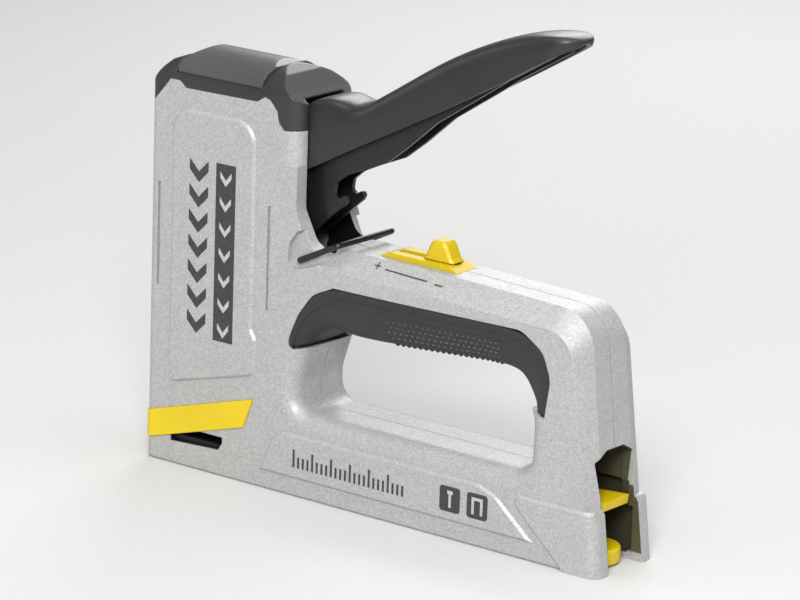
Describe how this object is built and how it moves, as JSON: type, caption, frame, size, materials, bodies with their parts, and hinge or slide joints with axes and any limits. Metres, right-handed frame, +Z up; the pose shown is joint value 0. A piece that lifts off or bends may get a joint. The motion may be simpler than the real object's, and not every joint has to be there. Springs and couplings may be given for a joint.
{
  "type": "staple gun",
  "caption": "Hand tacker with a tall head, closed finger opening, lift-up squeeze lever, wire lever lock, sliding power selector and a pull-out staple magazine.",
  "frame": {"origin": "middle of the foot print, on the surface the tool stands on", "axes": "+X from the nose to the magazine's pull end, +Z up, seam of the casing halves at Y = 0"},
  "size_m": [0.187, 0.032, 0.1673],
  "materials": {
    "cast_silver": "fine metallic paint over die casting",
    "charcoal_plastic": "fine moulded grain",
    "pad_plastic": "satin gloss",
    "yellow_plastic": "satin",
    "grip_rubber": "matt, textured",
    "black_steel": "black lacquer",
    "zinc_steel": "zinc plated",
    "spring_steel": "oiled wire"
  },
  "bodies": {
    "casing": {"left_shell": "cast_silver", "right_shell": "cast_silver", "shell_screws": "zinc_steel", "top_cap": "charcoal_plastic", "top_pad": "pad_plastic", "nose_band": "yellow_plastic", "handle_grip": "grip_rubber", "slider_track": "yellow_plastic", "lever_pin": "zinc_steel", "lever_spring": "spring_steel", "spring_seat": "black_steel", "bumper": "grip_rubber", "striker_guide": "zinc_steel", "staple_channel": "zinc_steel", "staples": "zinc_steel", "main_spring": "spring_steel"},
    "lever": {"lever_frame": "black_steel", "lever_grip": "charcoal_plastic", "lift_arm": "zinc_steel"},
    "hammer": {"hammer": "zinc_steel", "striker_blade": "zinc_steel"},
    "bail": {"lock_bail": "zinc_steel"},
    "selector": {"power_slider": "yellow_plastic", "adjuster_rod": "zinc_steel"},
    "magazine": {"magazine_rail": "zinc_steel", "guide_rod": "zinc_steel", "pull_knob": "yellow_plastic", "latch_pin": "zinc_steel", "pusher_spring": "spring_steel"},
    "latch": {"latch_tab": "yellow_plastic"},
    "pusher": {"pusher": "zinc_steel"}
  },
  "joints": [
    {"name": "lever_press", "type": "hinge", "parent": "casing", "child": "lever", "pos_m": [-0.036, 0, 0.091], "axis": [0, 1, 0], "range_deg": [0, 32], "stiffness_Nm_per_rad": 0.25, "springref_deg": -20.05, "deforming": ["lever_spring"]},
    {"name": "hammer_lift", "type": "slide", "parent": "casing", "child": "hammer", "axis": [0, 0, 1], "range_m": [0, 0.0137], "stiffness_N_per_m": 800, "springref_m": -0.004, "deforming": ["main_spring"]},
    {"name": "bail_swing", "type": "hinge", "parent": "casing", "child": "bail", "pos_m": [-0.0295, 0, 0.0792], "axis": [0, -1, 0], "range_deg": [0, 22]},
    {"name": "power_select", "type": "slide", "parent": "casing", "child": "selector", "axis": [1, 0, 0], "range_m": [-0.013, 0.003]},
    {"name": "magazine_pull", "type": "slide", "parent": "casing", "child": "magazine", "axis": [1, 0, 0], "range_m": [0, 0.09]},
    {"name": "latch_squeeze", "type": "hinge", "parent": "magazine", "child": "latch", "pos_m": [0.068, 0, 0.0166], "axis": [0, 1, 0], "range_deg": [0, 10], "stiffness_Nm_per_rad": 0.03, "springref_deg": -11.46},
    {"name": "pusher_feed", "type": "slide", "parent": "magazine", "child": "pusher", "axis": [1, 0, 0], "range_m": [0, 0.04], "stiffness_N_per_m": 40, "springref_m": -0.03, "deforming": ["pusher_spring"]}
  ],
  "couplings": [
    {"joint": "hammer_lift", "follows": "lever_press", "m_per_rad": 0.02435}
  ]
}
